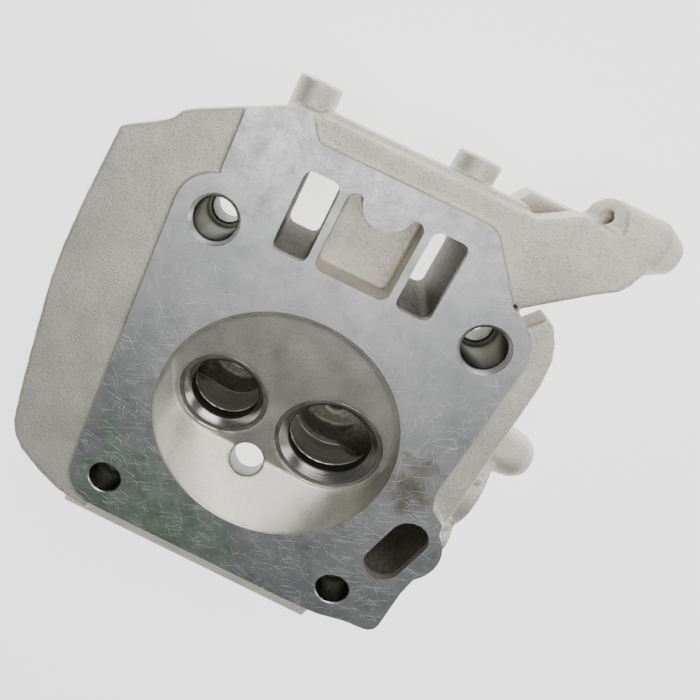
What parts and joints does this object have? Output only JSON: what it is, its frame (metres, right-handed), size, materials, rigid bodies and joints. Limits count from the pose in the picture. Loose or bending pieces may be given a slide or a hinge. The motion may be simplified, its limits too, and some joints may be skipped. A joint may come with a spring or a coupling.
{
  "type": "cylinder head",
  "caption": "Cylinder head of a small overhead-valve engine, gasket face up, with valve seats, guides and an open rocker box.",
  "frame": {"origin": "the cylinder axis on the gasket face; the head stands on its rocker cover rim, below the origin", "axes": "+Z out of the gasket face, towards the cylinder; +Y towards the push rods; +X towards the intake side"},
  "size_m": [0.1834, 0.1895, 0.064],
  "materials": {
    "cast_aluminium": "as cast, with machined faces",
    "seat_steel": "ground",
    "guide_iron": "machined",
    "spring_steel": "dark"
  },
  "bodies": {
    "root": {"head_casting": "cast_aluminium", "exhaust_valve_seat": "seat_steel", "intake_valve_seat": "seat_steel", "exhaust_valve_guide": "guide_iron", "intake_valve_guide": "guide_iron", "exhaust_guide_clip": "spring_steel"}
  },
  "joints": []
}
